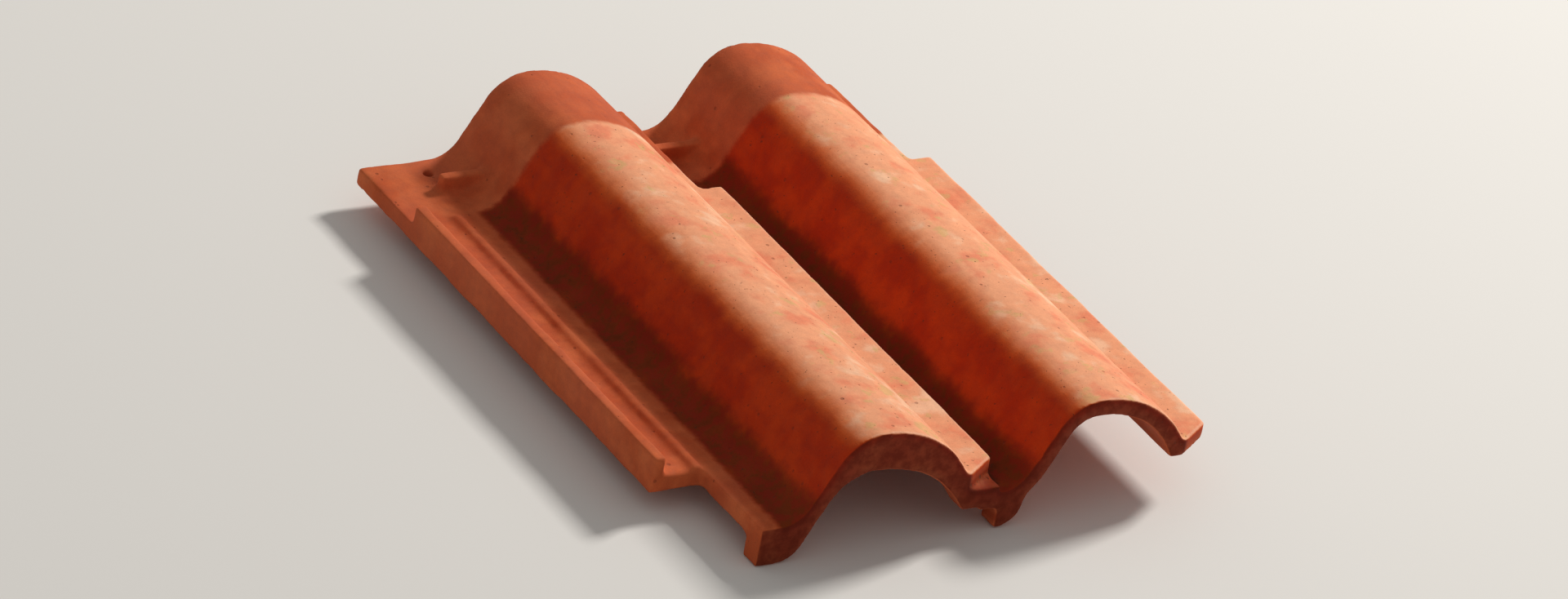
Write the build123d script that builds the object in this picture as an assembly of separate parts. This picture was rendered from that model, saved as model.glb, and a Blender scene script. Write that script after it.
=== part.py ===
from build123d import *
import math
import os

# An interlocking clay roof tile with two rolls and two pans, fired in one piece. Millimetres.
# It is drawn as it lies on the roof: +X to the right of someone looking up the slope,
# +Y from the tail, which shows, to the head, which the next course covers, and +Z up.
# It is drawn with X = 0 at the left neighbour's lip, Y = 0 at the tail and Z = 0 on the
# pans' upper face, and is moved at the end to stand on the floor about the origin.

# Laying sizes
rolls = 2
gauge_length = 360.0     # length of a course that stays in view
head_lap = 65.0          # length that the next course covers
lap_step = 27.0          # height from a tile to the one that laps it
seat_clearance = 1.0     # between a tail rib and the tile below

# Roll and pan section, on the upper face
wall = 12.0
rise = 54.0              # crown above the pan
pan_flat = 1.0           # level part of a pan that is left in view
pan_radius = 19.0        # hollow between the pan and the flank
flank_angle = 62.0       # steepest slope of a roll's left flank
flank_radius = 32.0      # between the flank and the crown
leg_radius = 75.0        # right half of the roll
leg_angle = 60.0         # slope of the roll where its lip begins
lip_width = 25.0
crease_radius = 4.0      # between a roll and its lip
lip_arris = 2.0          # radius of a lip's long corners
end_arris = 1.5          # radius of the corners round the tail, the head, the bars and the lugs

# Lip, which is cut back where the next course laps it
notch_depth = 15.0
notch_gap = 30.0         # from the notch to the tail of the next course
nib_length = 15.0        # mitred corner at the lip's tail end
nib_width = 24.0

# Side lock on the left edge, under the neighbour's roll
lock_width = 48.0        # from the neighbour's lip to the tile's left edge
lock_rib_width = 9.0
lock_rib_height = 12.0
lock_bar_width = 6.0     # low bar between the lock rib and the pan
lock_bar_height = 3.0
lock_bar_inset = 14.0    # from the neighbour's lip to the bar
lap_clearance = 2.0      # between the lock and the other tiles at a lap

# Ribs, lugs and nail holes
tail_rib_length = 16.0
head_rib_gap = 8.0       # from the next course's tail rib
head_rib_length = 8.0
head_rib_height = 11.0
lug_width = 30.0
lug_length = 15.0
lug_to_head = 30.0
nail_hole_diameter = 6.0
nail_hole_to_head = 16.0


def arc_run(radius, angle):
    """The width of an arc that turns from level to this angle."""
    return radius * math.sin(math.radians(angle))


def arc_drop(radius, angle):
    """The height of the same arc."""
    return radius * (1 - math.cos(math.radians(angle)))


length = gauge_length + head_lap
foot = lap_step - seat_clearance       # a tail rib's depth below the upper face
flank_drop = rise - arc_drop(flank_radius + pan_radius, flank_angle)
flank_length = flank_drop / math.sin(math.radians(flank_angle))
flank_run = flank_drop / math.tan(math.radians(flank_angle))
crown_x = pan_flat + arc_run(flank_radius + pan_radius, flank_angle) + flank_run
lip_top = rise - arc_drop(leg_radius, leg_angle)
pitch = crown_x + arc_run(leg_radius, leg_angle) + lip_width
hollow_run = pan_flat + arc_run(pan_radius, flank_angle)
left_edge = -lock_width
lap_edge = lap_clearance - notch_depth      # the pan's left edge where its neighbour's lip is notched
right_edge = rolls * pitch
notch_start = gauge_length - notch_gap


def roll_edges(start_x, lip_edge_x, depth):
    """Over one roll, from the hollow at its left to its lip's outer edge, depth below the face."""
    crown = (start_x + crown_x, rise - depth)
    left = JernArc(crown, (-1, 0), flank_radius - depth, flank_angle)
    flank = Line(left @ 1, (left @ 1) + (left % 1) * flank_length)
    hollow = JernArc(flank @ 1, flank % 1, pan_radius + depth, -flank_angle)
    leg_centre = rise - leg_radius
    sweep = math.degrees(math.acos((lip_top - depth - leg_centre) / (leg_radius - depth)))
    leg = JernArc(crown, (1, 0), leg_radius - depth, -sweep)
    lip = Line(leg @ 1, (lip_edge_x, lip_top - depth))
    return [hollow, flank, left, leg, lip]


def face_edges(lip_cut, depth):
    """The tile's upper face, or the line that lies depth below it, from the left to the right edge."""
    edges = []
    floor_start = (left_edge, -depth)
    for roll in range(rolls):
        last = roll == rolls - 1
        lip_edge_x = (roll + 1) * pitch - lip_cut - (0 if last else depth)
        over_roll = roll_edges(roll * pitch, lip_edge_x, depth)
        edges += [Line(floor_start, over_roll[0] @ 1)] + over_roll
        if not last:
            floor_start = (lip_edge_x, -depth)
            edges.append(Line(over_roll[-1] @ 1, floor_start))
    return edges


def along(section, y_start, y_end):
    """A section in X and Z, run along the tile's length."""
    return extrude(Plane.XZ.offset(-y_start) * section, -(y_end - y_start))


def corner_at(section, x, z):
    """The section's corner nearest to this place."""
    return min(section.vertices(), key=lambda corner: math.hypot(corner.X - x, corner.Y - z))


def shell(lip_cut, y_start, y_end):
    """The tile's wall between two places along its length."""
    lip_edge_x = right_edge - lip_cut
    ends = [
        Line((left_edge, 0), (left_edge, -wall)),
        Line((lip_edge_x, lip_top), (lip_edge_x, lip_top - wall)),
    ]
    section = make_face(face_edges(lip_cut, 0) + face_edges(lip_cut, wall) + ends).face()
    creases = [corner_at(section, (roll + 1) * pitch - lip_width, lip_top) for roll in range(rolls)]
    section = section.fillet_2d(crease_radius, creases)
    corners = [corner_at(section, (roll + 1) * pitch - lip_cut, lip_top) for roll in range(rolls)]
    corners.append(corner_at(section, lip_edge_x, lip_top - wall))
    return along(section.fillet_2d(lip_arris, corners), y_start, y_end)


def softened(piece, axis, side):
    """The piece with the corners rounded all round its lowest face, 0, or its highest, -1."""
    return fillet(piece.faces().sort_by(axis)[side].edges(), end_arris)


def rib_edges(depth):
    """The line under which the tail rib lies, from the pan's edge to the hollow past the left roll."""
    over_roll = roll_edges(0, pitch - depth, depth)
    next_hollow = roll_edges(pitch, 2 * pitch, depth)[0]
    floor_start = over_roll[-1] @ 1 - Vector(0, lip_top)
    start = Line((lap_edge, -depth), over_roll[0] @ 1)
    step = Line(over_roll[-1] @ 1, floor_start)
    return [start, *over_roll, step, Line(floor_start, next_hollow @ 1), next_hollow]


def tail_rib():
    """The rib under the tail, which seats on the tile below and closes the left roll's end."""
    upper = rib_edges(wall / 2)
    lower = [Pos(0, -foot) * edge for edge in rib_edges(0)]
    ends = [Line(upper[0] @ 0, lower[0] @ 0), Line(upper[-1] @ 0, lower[-1] @ 0)]
    return along(make_face(upper + lower + ends), 0, tail_rib_length)


def box(x_start, x_end, y_start, y_end, z_start, z_end):
    size = (x_end - x_start, y_end - y_start, z_end - z_start)
    corner = Align.MIN
    return Pos(x_start, y_start, z_start) * Box(*size, align=(corner, corner, corner))


def rib(x_start, x_end, y_start, y_end, z_end):
    """A rib that stands on a pan, with its upper corners rounded."""
    return softened(box(x_start, x_end, y_start, y_end, -wall / 2, z_end), Axis.Z, -1)


def head_rib(pan, floor_x):
    """The weather bar across a pan, between its left edge and the roll."""
    y_start = gauge_length + tail_rib_length + head_rib_gap
    x_end = pan + hollow_run + end_arris
    return rib(floor_x, x_end, y_start, y_start + head_rib_length, head_rib_height)


def side_lock():
    """The rib and the low bar along the left edge, under the neighbour's roll and lip."""
    y_start = head_lap + lap_clearance
    y_end = gauge_length - lap_clearance
    bar_end = -lock_bar_inset
    outer = rib(left_edge, left_edge + lock_rib_width, y_start, y_end, lock_rib_height)
    return outer + rib(bar_end - lock_bar_width, bar_end, y_start, y_end, lock_bar_height)


def lug(pan):
    """The lug under a pan's head that hangs on the batten."""
    x_end = pan + pan_radius / 4
    y_end = length - lug_to_head
    block = box(x_end - lug_width, x_end, y_end - lug_length, y_end, -foot, -wall / 2)
    return fillet(block.edges().filter_by(Axis.Z), end_arris)


def nail_hole(pan):
    """The hole in the flat of a pan, beside the notched lip."""
    drill = Cylinder(nail_hole_diameter / 2, 3 * wall)
    return Pos(pan - notch_depth / 2, length - nail_hole_to_head, -wall / 2) * drill


def notch_web(lip_edge_x):
    """The wall across the left roll's lip that closes the step at its notch."""
    x_start = lip_edge_x - notch_depth - wall
    return box(x_start, lip_edge_x - wall / 2, notch_start - wall, notch_start, -wall, lip_top - wall / 2)


def nib_cut(lip_edge_x):
    """The mitre across a lip's outer corner at the tail."""
    corner = Polyline((0, 0), (-nib_width, 0), (0, nib_length), close=True)
    return Pos(lip_edge_x, 0, lip_top - wall) * extrude(make_face(corner), 2 * wall)


def lock_cut():
    """The corner left out at the tail, where the head of the lower left tile's roll comes through."""
    return box(left_edge, lap_edge, 0, head_lap + lap_clearance, -wall, 0)


body = softened(shell(0, 0, notch_start), Axis.Y, 0)
body += softened(shell(notch_depth, notch_start, length), Axis.Y, -1)
body -= lock_cut()
body += tail_rib()
body += side_lock()
for roll in range(rolls):
    pan = roll * pitch
    floor_x = lap_edge if roll == 0 else pan - notch_depth - wall / 2
    body += head_rib(pan, floor_x)
    body += lug(pan)
    body -= nail_hole(pan)
    body -= nib_cut(pan + pitch)
    if roll < rolls - 1:
        body += notch_web(pan + pitch)

bounds = body.bounding_box()
middle_x = (bounds.min.X + bounds.max.X) / 2
tile = Pos(-middle_x, -length / 2, foot) * body
print("volume", round(tile.volume), "valid", tile.is_valid, "solids", len(tile.solids()))
print("pitch", round(pitch, 2), "crown at", round(crown_x, 2), "lip top", round(lip_top, 2))
print("width", round(bounds.size.X, 1), "length", round(length, 1), "height", round(bounds.size.Z, 1))

os.makedirs("parts", exist_ok=True)
export_step(tile, "parts/roof_tile.step")
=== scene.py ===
"""The looks of an interlocking clay roof tile: its worn fired body, its weathered finish with painted
light and shade, and a studio to see it in."""

from types import SimpleNamespace

import bmesh
import bpy
from mathutils import Matrix, Vector


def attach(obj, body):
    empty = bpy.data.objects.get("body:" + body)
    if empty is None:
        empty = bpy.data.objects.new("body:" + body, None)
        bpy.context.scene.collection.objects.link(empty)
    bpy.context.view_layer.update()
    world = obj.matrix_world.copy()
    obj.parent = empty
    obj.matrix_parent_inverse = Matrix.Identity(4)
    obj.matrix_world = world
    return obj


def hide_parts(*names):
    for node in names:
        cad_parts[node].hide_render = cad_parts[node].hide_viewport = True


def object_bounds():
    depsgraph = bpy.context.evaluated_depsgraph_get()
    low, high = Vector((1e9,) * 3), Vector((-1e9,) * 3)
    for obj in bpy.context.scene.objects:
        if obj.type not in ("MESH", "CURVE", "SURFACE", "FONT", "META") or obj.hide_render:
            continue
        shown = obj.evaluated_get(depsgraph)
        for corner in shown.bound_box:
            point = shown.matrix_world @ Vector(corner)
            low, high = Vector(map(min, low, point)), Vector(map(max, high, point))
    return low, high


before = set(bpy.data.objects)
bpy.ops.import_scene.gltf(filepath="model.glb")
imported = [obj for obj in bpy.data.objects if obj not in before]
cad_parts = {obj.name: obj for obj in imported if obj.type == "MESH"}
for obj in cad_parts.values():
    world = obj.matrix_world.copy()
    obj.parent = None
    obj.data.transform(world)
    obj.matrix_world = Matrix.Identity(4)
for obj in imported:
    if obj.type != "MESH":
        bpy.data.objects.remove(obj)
cad_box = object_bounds()

# Places on the tile, in metres
GAUGE_LENGTH = 0.360     # from the tail, what the next course leaves in view
LOCK_WIDTH = 0.048       # left margin that the tile beside covers
PAN_TOP = 0.026          # height of the pans' upper face
TAIL = cad_box[0].y
COVER_LINE = TAIL + GAUGE_LENGTH
SIDE_LINE = cad_box[0].x + LOCK_WIDTH

# The body's mesh, in metres
MERGE_DISTANCE = 1e-6    # joins the loose triangles of the solid's mesh
VOXEL = 0.0014
KEPT_SHARE = 0.38        # of the remeshed body, which keeps it under 200,000 triangles
MILLIMETRES = 1000.0     # to a metre
WEAR = {
    "Arris steps": 6,
    "Valley steps": 140,
    "Chip scale": 60.0,
    "Chip reach": 1.6,
    "Wander depth": 0.0009,
    "Wander scale": 16.0,
    "Seed": 3.7,
}

# The weathering and the painted light and shade, in metres
LAP_FADE = 0.006         # over which it ends at the tiles above and beside
ROLL_FOOT = 0.018        # above the pan, where bleaching and painted light are full
DIRT_AND_SHADE_TOP = 0.025         # above the pan, where the dirt and painted shade at a flank's foot end
DIRT_AND_SHADE_FULL = 0.015        # above the pan, where it is full
TAIL_EDGE = 0.004        # from the tail, where the dirt and painted shade on its end begin
TAIL_FULL = 0.001
BUMP_DEPTH = 0.0006
# Towards the key lamp: the clay is painted paler on faces turned this way
SUNNY_SIDE = (0.56, 0.12, 0.82)

# The studio and the photograph's camera, in metres
FLOOR_HALF = 6.0
KEY_TINT = (1.0, 0.965, 0.92)
SKY_TINT = (1.0, 0.985, 0.96, 1)
SKY_STRENGTH = 0.34
PHOTO_RIGHT = Vector((0.8456, -0.5031, 0.1783))
PHOTO_UP = Vector((0.1233, 0.5092, 0.8518))
TARGET = Vector((0.0, 0.0, 0.034))
DISTANCE = 5.8
FRAME_WIDTH = 0.93       # across the picture, at the tile
SENSOR_WIDTH = 36.0      # millimetres
FAR_CLIP = 50.0


# Node trees

class Value:
    """A socket in a node tree, so that its maths can be written as an expression."""

    def __init__(self, tree, socket):
        self.tree, self.socket = tree, socket

    def __add__(self, other):
        return self.tree.maths("ADD", self, other)

    def __sub__(self, other):
        return self.tree.maths("SUBTRACT", self, other)

    def __mul__(self, other):
        return self.tree.maths("MULTIPLY", self, other)


class Tree:
    """A shader or geometry node tree, built a node at a time."""

    def __init__(self, tree):
        self.tree = tree

    def node(self, kind, settings=None, sockets=None, output=0):
        """Adds a node: its settings first, then the values or links of its sockets."""
        made = self.tree.nodes.new(kind)
        for name, setting in (settings or {}).items():
            setattr(made, name, setting)
        for name, given in (sockets or {}).items():
            if isinstance(given, Value):
                self.tree.links.new(given.socket, made.inputs[name])
            else:
                made.inputs[name].default_value = given
        return Value(self, made.outputs[output])

    def maths(self, operation, *values):
        return self.node("ShaderNodeMath", {"operation": operation}, dict(enumerate(values)))

    def vectors(self, operation, *values, output=0):
        settings = {"operation": operation}
        return self.node("ShaderNodeVectorMath", settings, dict(enumerate(values)), output)

    def scaled(self, vector, factor):
        sockets = {"Vector": vector, "Scale": factor}
        return self.node("ShaderNodeVectorMath", {"operation": "SCALE"}, sockets)

    def dot(self, first, second):
        return self.vectors("DOT_PRODUCT", first, second, output=1)

    def mask(self, value, start, end, low=0.0, high=1.0):
        """A smooth step: low up to start, and high from end."""
        sockets = {"Value": value, 1: start, 2: end, 3: low, 4: high}
        return self.node("ShaderNodeMapRange", {"interpolation_type": "SMOOTHSTEP"}, sockets)

    def part(self, vector, index):
        """The X, Y or Z of a vector."""
        return self.node("ShaderNodeSeparateXYZ", None, {0: vector}, index)

    def moved(self, place, offset):
        return self.node("ShaderNodeMapping", None, {"Vector": place, "Location": offset})

    def stretched(self, place, scale):
        return self.node("ShaderNodeMapping", None, {"Vector": place, "Scale": scale})

    def recorded(self, name):
        """What the body's geometry nodes recorded under this name."""
        return self.node("ShaderNodeAttribute", {"attribute_name": name}, output=2)

    def noise(self, place, scale, detail=2.0, roughness=0.5):
        sockets = {"Vector": place, "Scale": scale, "Detail": detail, "Roughness": roughness}
        return self.node("ShaderNodeTexNoise", None, sockets)

    def cells(self, place, scale):
        """The distance to the nearest of many scattered points, and that point's random number."""
        nearest = self.node("ShaderNodeTexVoronoi", None, {"Vector": place, "Scale": scale})
        return nearest, self.part(Value(self, nearest.socket.node.outputs["Color"]), 0)

    def mixed(self, factor, first, second):
        """A colour between two others."""
        settings = {"data_type": "RGBA", "clamp_factor": True}
        return self.node("ShaderNodeMix", settings, {0: factor, 6: first, 7: second}, 2)


def colour(red, green, blue):
    """A colour as it looks on a screen, 0 to 255, as the linear one that a shader takes."""
    parts = [value / 255 for value in (red, green, blue)]
    return tuple(p / 12.92 if p <= 0.04045 else ((p + 0.055) / 1.055) ** 2.4 for p in parts) + (1.0,)


# Colours of the fresh clay
KILN_DARK = colour(188, 84, 44)
KILN_PALE = colour(206, 104, 60)
KILN_ROSE = colour(194, 92, 58)

# Colours of the weathered clay: from deep red on faces turned from the key lamp to peach on faces
# turned to it, partly bleaching and partly painted light and shade
DEEP_RED = colour(180, 46, 8)
BRICK_RED = colour(196, 60, 13)
ORANGE = colour(222, 104, 42)
PEACH = colour(238, 163, 122)
CORAL = colour(230, 128, 94)
CREAM = colour(242, 192, 156)
WORN_EDGE = colour(250, 196, 164)
LICHEN = colour(208, 172, 112)

# Colours of the dirt; all but the flecks and the pits also stand in for painted shade: at the flanks'
# feet, in the valleys, on the tail's end and in the lips' crease
SHADE_AND_DAMP_RED = colour(112, 28, 6)
ALGAE_AND_SHADE_OLIVE = colour(76, 44, 10)
SOIL_AND_SHADE = colour(64, 30, 8)
TAIL_DIRT_AND_SHADE = colour(96, 24, 8)
SEAM_BROWN = colour(140, 66, 38)
FLECK_BROWN = colour(84, 48, 30)
PIT_BROWN = colour(112, 48, 28)

FLOOR_PALE = colour(232, 230, 226)


def new_material(name):
    material = bpy.data.materials.new(name)
    material.use_nodes = True
    return material, material.node_tree.nodes["Principled BSDF"]


# The finish of the clay

def clay_fields(tree):
    """The places, noises and masks that the clay's colours are laid out by."""
    place = tree.node("ShaderNodeTexCoord", output=3)         # object coordinates
    facing = tree.node("ShaderNodeNewGeometry", output=1)     # the normal
    field = SimpleNamespace(place=place, facing=facing)
    across, field.along, field.height = (tree.part(place, axis) for axis in range(3))
    field.arris = tree.recorded("arris")
    field.crevice = tree.recorded("crevice")
    field.valley = tree.recorded("valley")

    field.broad = tree.noise(place, 11)
    field.patches = tree.noise(place, 38, 3, 0.55)
    field.cloudy = tree.mask(field.patches, 0.35, 0.66)
    field.tints = tree.noise(tree.moved(place, (0.31, 0.77, 0.13)), 34, 3, 0.6)
    field.lichen = tree.noise(tree.moved(place, (0.9, 0.2, 0.6)), 62, 3, 0.6)
    field.mottle = tree.noise(place, 150, 3, 0.6)
    field.grain = tree.noise(place, 950, 3, 0.6)
    field.streaks = tree.noise(tree.stretched(place, (110, 9, 110)), 1, 3)

    # Painted light: how far a face turns to the key lamp
    field.sunny = tree.dot(facing, SUNNY_SIDE) + field.patches * 0.3 - 0.15
    # Painted shade: the low pans keep the darker clay
    field.raised = tree.mask(field.height, PAN_TOP, PAN_TOP + ROLL_FOOT)
    field.bleached = tree.mask(field.sunny, 0.35, 0.85) * field.raised
    field.upper = tree.mask(tree.part(facing, 2), -0.1, 0.15)
    ragged = field.mottle * LAP_FADE
    in_course = tree.mask(field.along + ragged, COVER_LINE + LAP_FADE, COVER_LINE)
    field.in_view = in_course * tree.mask(across + ragged, SIDE_LINE, SIDE_LINE + LAP_FADE)
    return field


def fresh_clay(tree, field):
    """Clay as it left the kiln, for the hidden faces and under the tiles above and beside."""
    clay = tree.mixed(field.cloudy, KILN_DARK, KILN_PALE)
    return tree.mixed(tree.mask(field.broad, 0.4, 0.62) * 0.6, clay, KILN_ROSE)


def weathered_clay_with_painted_light(tree, field):
    """Clay in view, paler the more a face looks up and to the sunny side: partly bleaching, partly
    painted light and shade, with orange painted where light turns to shade.
    """
    clay = tree.mixed(field.cloudy, DEEP_RED, BRICK_RED)
    for amount, tone in (
        # Painted light: orange where light turns to shade and peach where it falls full, over deep red
        # painted shade
        (tree.mask(field.sunny, 0.15, 0.6) * field.raised, ORANGE),
        (field.bleached, PEACH),
        (tree.mask(field.tints, 0.5, 0.68) * field.bleached * 0.75, CORAL),
        (tree.mask(field.tints, 0.47, 0.32) * field.bleached * 0.85, CREAM),
        (tree.mask(field.arris, 0.15, 0.45) * field.bleached * 0.45, WORN_EDGE),
        (tree.mask(field.lichen, 0.58, 0.68) * field.bleached * 0.6, LICHEN),
    ):
        clay = tree.mixed(amount, clay, tone)
    return clay


def dirtied_and_shaded(tree, field, clay):
    """The clay with dirt and painted shade up the foot of each flank, in the valleys, beside the lips
    and over the tail's end.
    """
    # Dirt and painted shade up the foot of each flank, reaching higher on faces turned from the key
    # lamp
    uneven_height = field.height + field.sunny * 0.012 + field.patches * 0.008 + field.mottle * 0.006
    low = tree.mask(uneven_height, PAN_TOP + DIRT_AND_SHADE_TOP, PAN_TOP + DIRT_AND_SHADE_FULL)
    algae_and_shade = tree.mixed(tree.mask(field.mottle, 0.4, 0.62), SHADE_AND_DAMP_RED, ALGAE_AND_SHADE_OLIVE)
    clay = tree.mixed(low * field.in_view * field.upper * 0.72, clay, algae_and_shade)

    # Soil and painted shade in the deep valleys and at the foot of steps
    damp_and_shade = tree.mask(field.valley + field.mottle * 3 - 1.5, 1.4, 3.4) * field.in_view * field.upper
    clay = tree.mixed(damp_and_shade * tree.mask(field.patches, 0.25, 0.6, 0.5, 0.92), clay, SOIL_AND_SHADE)

    # Dirt and painted shade over the tail's end, which faces away from the key lamp
    tail_face = tree.mask(tree.part(field.facing, 1) * -1, 0.55, 0.9)
    tail_face = tail_face * tree.mask(field.along, TAIL + TAIL_EDGE, TAIL + TAIL_FULL)
    clay = tree.mixed(tail_face * tree.mask(field.mottle, 0.25, 0.7, 0.62, 0.9), clay, TAIL_DIRT_AND_SHADE)

    # Painted shade and dirt in the crease between roll and lip
    seam_dirt_and_shade = tree.mask(field.crevice, 0.05, 0.15) * tree.mask(field.mottle, 0.3, 0.6, 0.35, 1.0)
    return tree.mixed(seam_dirt_and_shade * field.upper * field.in_view * 0.22, clay, SEAM_BROWN)


def fleck_mask(tree, field):
    """Dark flecks, close together in the crease of a lip and sparse elsewhere."""
    flecks = tree.noise(field.place, 420, 2, 0.5)
    crowded = tree.mask(field.crevice, 0.03, 0.13) * tree.mask(field.mottle, 0.35, 0.6)
    return tree.mask(flecks + crowded * 0.1, 0.7, 0.74) * field.upper * field.in_view


def pit_mask(tree, field):
    """Small pits of several sizes, on every face."""
    distance, sort = tree.cells(tree.moved(field.place, (0.5, 0.2, 0.9)), 210)
    size = tree.mask(sort, 0.88, 1.0, 0.0, 0.28)
    return tree.mask(distance + field.mottle * 0.2 - 0.1 - size, 0.0, -0.1)


def clay_finish():
    """Fired clay: deep red on faces turned from the key lamp and peach on faces turned to it, partly
    from bleaching and partly as painted light and shade.
    """
    material, shader = new_material("fired_clay")
    tree = Tree(material.node_tree)
    field = clay_fields(tree)
    clay = tree.mixed(field.upper * field.in_view, fresh_clay(tree, field), weathered_clay_with_painted_light(tree, field))
    clay = tree.scaled(clay, field.mottle * 0.36 + field.grain * 0.32 + field.streaks * 0.22 + 0.56)
    clay = dirtied_and_shaded(tree, field, clay)
    fleck = fleck_mask(tree, field)
    clay = tree.mixed(fleck * 0.6, clay, FLECK_BROWN)
    pit = pit_mask(tree, field)
    clay = tree.mixed(pit * 0.4, clay, PIT_BROWN)

    roughness = tree.mask(field.mottle, 0.3, 0.7, 0.8, 0.93)
    relief = field.grain * 0.35 + field.mottle * 0.8 + field.streaks * 0.4 - pit * 1.6 - fleck * 0.5
    sockets = {"Strength": 0.5, "Distance": BUMP_DEPTH, "Height": relief}
    bump = tree.node("ShaderNodeBump", None, sockets)
    for name, made in (("Base Color", clay), ("Roughness", roughness), ("Normal", bump)):
        material.node_tree.links.new(made.socket, shader.inputs[name])
    shader.inputs["Specular IOR Level"].default_value = 0.2
    return material


# The tile's body

def wear_sockets(group):
    """Gives the wear's node group its inputs and its output."""
    group.interface.new_socket("Geometry", in_out="OUTPUT", socket_type="NodeSocketGeometry")
    group.interface.new_socket("Geometry", in_out="INPUT", socket_type="NodeSocketGeometry")
    for name, kind in (
        ("Arris steps", "NodeSocketInt"),
        ("Valley steps", "NodeSocketInt"),
        ("Chip scale", "NodeSocketFloat"),
        ("Chip reach", "NodeSocketFloat"),
        ("Wander depth", "NodeSocketFloat"),
        ("Wander scale", "NodeSocketFloat"),
        ("Seed", "NodeSocketFloat"),
        ("Material", "NodeSocketMaterial"),
    ):
        group.interface.new_socket(name, in_out="INPUT", socket_type=kind)


def relaxed(tree, position, steps):
    """Where each point would lie if the surface were smoothed by this many steps."""
    sockets = {"Value": position, "Iterations": steps, "Weight": 1.0}
    return tree.node("GeometryNodeBlurAttribute", {"data_type": "FLOAT_VECTOR"}, sockets)


def stored(tree, geometry, name, value):
    settings = {"data_type": "FLOAT", "domain": "POINT"}
    sockets = {"Geometry": geometry, "Name": name, "Value": value}
    return tree.node("GeometryNodeStoreNamedAttribute", settings, sockets)


def firing_wear():
    """Geometry nodes that round the arrises unevenly and let the faces wander inwards, and that
    record where the arrises, crevices and valleys are."""
    group = bpy.data.node_groups.new("firing_wear", "GeometryNodeTree")
    wear_sockets(group)
    tree = Tree(group)
    given = group.nodes.new("NodeGroupInput")
    inputs = {socket.name: Value(tree, socket) for socket in given.outputs if socket.name}
    position = tree.node("GeometryNodeInputPosition")
    normal = tree.node("GeometryNodeInputNormal")

    near = tree.vectors("SUBTRACT", relaxed(tree, position, inputs["Arris steps"]), position)
    far = tree.vectors("SUBTRACT", relaxed(tree, position, inputs["Valley steps"]), position)
    near_depth = tree.dot(near, normal)
    far_depth = tree.dot(far, normal)
    arris = near_depth * -MILLIMETRES
    geometry = stored(tree, inputs["Geometry"], "arris", arris)
    geometry = stored(tree, geometry, "crevice", near_depth * MILLIMETRES)
    geometry = stored(tree, geometry, "valley", far_depth * MILLIMETRES)

    offset = tree.node("ShaderNodeCombineXYZ", None, {0: inputs["Seed"]})
    seeded = tree.vectors("ADD", position, offset)
    rounding = tree.mask(tree.noise(seeded, 45, 2), 0.35, 0.68, 0.3, 1.0)
    chip = tree.mask(tree.noise(seeded, inputs["Chip scale"], 3, 0.6), 0.64, 0.72)
    chip = chip * tree.mask(arris, 0.2, 0.55)
    worn = tree.scaled(near, rounding + chip * inputs["Chip reach"])
    wander = tree.noise(seeded, inputs["Wander scale"], 2) * inputs["Wander depth"] * -1
    move = tree.vectors("ADD", worn, tree.scaled(normal, wander))

    for kind, sockets in (
        ("GeometryNodeSetPosition", {"Offset": move}),
        ("GeometryNodeSetMaterial", {"Material": inputs["Material"]}),
        ("GeometryNodeSetShadeSmooth", {}),
        ("GeometryNodeRealizeInstances", {}),
    ):
        geometry = tree.node(kind, None, {"Geometry": geometry, **sockets})
    out = group.nodes.new("NodeGroupOutput")
    group.links.new(geometry.socket, out.inputs[0])
    return group


def merged_copy(mesh):
    """A copy of a mesh with its loose triangles joined."""
    copy = mesh.copy()
    joined = bmesh.new()
    joined.from_mesh(copy)
    bmesh.ops.remove_doubles(joined, verts=joined.verts, dist=MERGE_DISTANCE)
    joined.to_mesh(copy)
    joined.free()
    return copy


def tile_body(clay):
    """The tile's solid, remeshed evenly, worn, and thinned where it is flat."""
    rough = bpy.data.objects.new("tile_rough", merged_copy(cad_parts["roof_tile"].data))
    bpy.context.scene.collection.objects.link(rough)

    remesh = rough.modifiers.new("remesh", "REMESH")
    remesh.mode = "VOXEL"
    remesh.voxel_size = VOXEL
    wear = rough.modifiers.new("wear", "NODES")
    wear.node_group = firing_wear()
    given = {**WEAR, "Material": clay}
    for item in wear.node_group.interface.items_tree:
        if item.item_type == "SOCKET" and item.in_out == "INPUT" and item.name in given:
            wear[item.identifier] = given[item.name]
    thin = rough.modifiers.new("thin", "DECIMATE")
    thin.ratio = KEPT_SHARE

    bpy.context.view_layer.update()
    evaluated = rough.evaluated_get(bpy.context.evaluated_depsgraph_get())
    finished = bpy.data.meshes.new_from_object(evaluated)
    bpy.data.objects.remove(rough)
    body = bpy.data.objects.new("tile_body", finished)
    bpy.context.scene.collection.objects.link(body)
    return body


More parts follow.
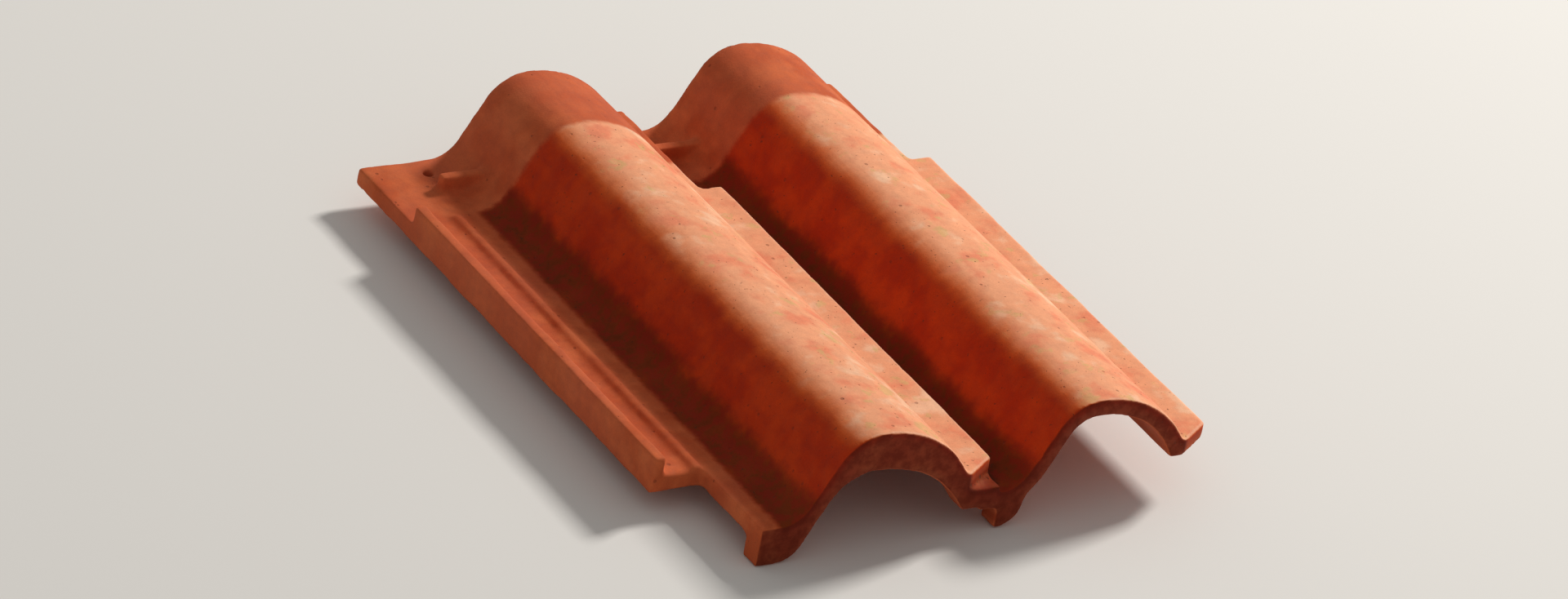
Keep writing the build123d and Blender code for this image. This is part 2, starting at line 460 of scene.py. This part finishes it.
clay = clay_finish()
body = tile_body(clay)
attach(body, "root")
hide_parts("roof_tile")


# The studio

def floor():
    material, shader = new_material("floor")
    shader.inputs["Base Color"].default_value = FLOOR_PALE
    shader.inputs["Roughness"].default_value = 0.9
    corners = [(x * FLOOR_HALF, y * FLOOR_HALF, 0) for x, y in ((-1, -1), (1, -1), (1, 1), (-1, 1))]
    mesh = bpy.data.meshes.new("floor")
    mesh.from_pydata(corners, [], [(0, 1, 2, 3)])
    mesh.materials.append(material)
    ground = bpy.data.objects.new("floor", mesh)
    bpy.context.scene.collection.objects.link(ground)


def lamp(name, direction, distance, size, power, tint):
    light = bpy.data.lights.new(name, "AREA")
    light.size = size
    light.energy = power
    light.color = tint
    holder = bpy.data.objects.new(name, light)
    towards = Vector(direction).normalized()
    holder.location = towards * distance
    holder.rotation_euler = (-towards).to_track_quat("-Z", "Y").to_euler()
    bpy.context.scene.collection.objects.link(holder)


def studio():
    floor()
    lamp("key", direction=(0.74, 0.24, 0.63), distance=5.0, size=0.9, power=215, tint=KEY_TINT)
    world = bpy.data.worlds.new("studio")
    world.use_nodes = True
    background = world.node_tree.nodes["Background"]
    background.inputs["Color"].default_value = SKY_TINT
    background.inputs["Strength"].default_value = SKY_STRENGTH
    bpy.context.scene.world = world
    bpy.context.scene.view_settings.view_transform = "Standard"


def camera():
    """The photograph's view of the tile: down on its tail and left side, leaning a little."""
    back = PHOTO_RIGHT.cross(PHOTO_UP).normalized()
    up = back.cross(PHOTO_RIGHT).normalized()
    lens = bpy.data.cameras.new("camera")
    lens.sensor_width = SENSOR_WIDTH
    lens.lens = SENSOR_WIDTH * DISTANCE / FRAME_WIDTH
    lens.clip_end = FAR_CLIP
    holder = bpy.data.objects.new("camera", lens)
    turned = Matrix((PHOTO_RIGHT.normalized(), up, back)).transposed().to_4x4()
    turned.translation = TARGET + back * DISTANCE
    holder.matrix_world = turned
    bpy.context.scene.collection.objects.link(holder)
    bpy.context.scene.camera = holder


studio()
camera()
